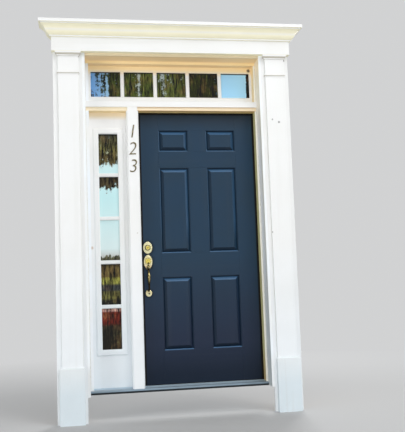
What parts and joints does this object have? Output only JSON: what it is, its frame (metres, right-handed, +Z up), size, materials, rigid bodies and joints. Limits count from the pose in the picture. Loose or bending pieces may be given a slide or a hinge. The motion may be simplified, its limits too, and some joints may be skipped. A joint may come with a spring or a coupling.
{
  "type": "panelled front door with its frame",
  "caption": "Panelled front door that swings in a painted frame with a sidelight, a transom, pilasters and a cornice.",
  "frame": {"origin": "on the wall's face, at porch floor level, on the middle line of the surround", "axes": "+X to the right as seen from the porch, +Y into the house, +Z up"},
  "size_m": [1.934, 0.4195, 2.844],
  "materials": {
    "door_paint": "satin dark blue paint on wood",
    "trim_paint": "white exterior paint on wood",
    "panel_paint": "white paint on a flat fixed panel",
    "brass": "polished brass with light tarnish",
    "steel": "zinc-plated steel",
    "sill_metal": "mill-finish aluminium, dulled",
    "glass": "clear sealed glass unit",
    "rubber": "black rubber",
    "foam": "foam-filled strip"
  },
  "bodies": {
    "frame": {"right_jamb": "trim_paint", "left_jamb": "trim_paint", "mullion": "trim_paint", "transom_bar": "trim_paint", "head_jamb": "trim_paint", "right_lining": "trim_paint", "left_lining": "trim_paint", "head_lining": "trim_paint", "transom_sash": "trim_paint", "right_pilaster_board": "trim_paint", "right_pilaster_face": "trim_paint", "right_plinth": "trim_paint", "left_pilaster_board": "trim_paint", "left_pilaster_face": "trim_paint", "left_plinth": "trim_paint", "frieze": "trim_paint", "crown": "trim_paint", "sill": "sill_metal", "threshold_cap": "sill_metal", "weatherstrips": "foam", "hinge_leaves_on_jamb": "brass", "latch_strike": "brass", "deadbolt_strike": "brass", "sidelight_panel": "panel_paint", "sidelight_frame_outside": "panel_paint", "sidelight_frame_inside": "panel_paint", "sidelight_glass": "glass", "transom_glass": "glass"},
    "door": {"lock_stile": "door_paint", "hinge_stile": "door_paint", "bottom_rail": "door_paint", "lock_rail": "door_paint", "frieze_rail": "door_paint", "top_rail": "door_paint", "lower_centre_stile": "door_paint", "tall_centre_stile": "door_paint", "upper_centre_stile": "door_paint", "lower_panel_left": "door_paint", "lower_panel_right": "door_paint", "tall_panel_left": "door_paint", "tall_panel_right": "door_paint", "upper_panel_left": "door_paint", "upper_panel_right": "door_paint", "door_sweep": "rubber", "hinge_leaves_on_door": "brass", "hinge_pins": "brass", "deadbolt_collar": "brass", "handle_plate": "brass", "grip": "brass", "lower_rosette": "brass", "knob_rose": "brass", "turn_plate": "brass", "latch_case": "steel", "deadbolt_case": "steel"},
    "thumb_lever": {"thumb_piece": "brass"},
    "latch": {"latch_bolt": "steel"},
    "knob": {"inside_knob": "brass"},
    "turn": {"thumb_turn": "brass"},
    "plug": {"key_plug": "brass"},
    "bolt": {"deadbolt": "steel"}
  },
  "joints": [
    {"name": "door_swing", "type": "hinge", "parent": "frame", "child": "door", "pos_m": [0.6455, 0.2034, 1.2], "axis": [0, 0, -1], "range_deg": [0, 110]},
    {"name": "thumb_press", "type": "hinge", "parent": "door", "child": "thumb_lever", "pos_m": [-0.21, 0.156, 1.081], "axis": [-1, 0, 0], "range_deg": [0, 16], "stiffness_Nm_per_rad": 0.3, "springref_deg": 16},
    {"name": "latch_slide", "type": "slide", "parent": "door", "child": "latch", "axis": [-1, 0, 0], "range_m": [0, 0.012]},
    {"name": "knob_turn", "type": "hinge", "parent": "door", "child": "knob", "pos_m": [-0.21, 0.1965, 1.081], "axis": [0, 1, 0], "range_deg": [-45, 45], "stiffness_Nm_per_rad": 0.5},
    {"name": "deadbolt_turn", "type": "hinge", "parent": "door", "child": "turn", "pos_m": [-0.21, 0.1965, 1.216], "axis": [0, 1, 0], "range_deg": [0, 90]},
    {"name": "key_turn", "type": "hinge", "parent": "door", "child": "plug", "pos_m": [-0.21, 0.152, 1.216], "axis": [0, 1, 0], "range_deg": [0, 90]},
    {"name": "deadbolt_slide", "type": "slide", "parent": "door", "child": "bolt", "axis": [-1, 0, 0], "range_m": [0, 0.025]}
  ],
  "couplings": [
    {"joint": "latch_slide", "follows": "thumb_press", "m_per_rad": 0.0429},
    {"joint": "key_turn", "follows": "deadbolt_turn", "ratio": 1},
    {"joint": "deadbolt_slide", "follows": "deadbolt_turn", "m_per_rad": 0.0159}
  ]
}
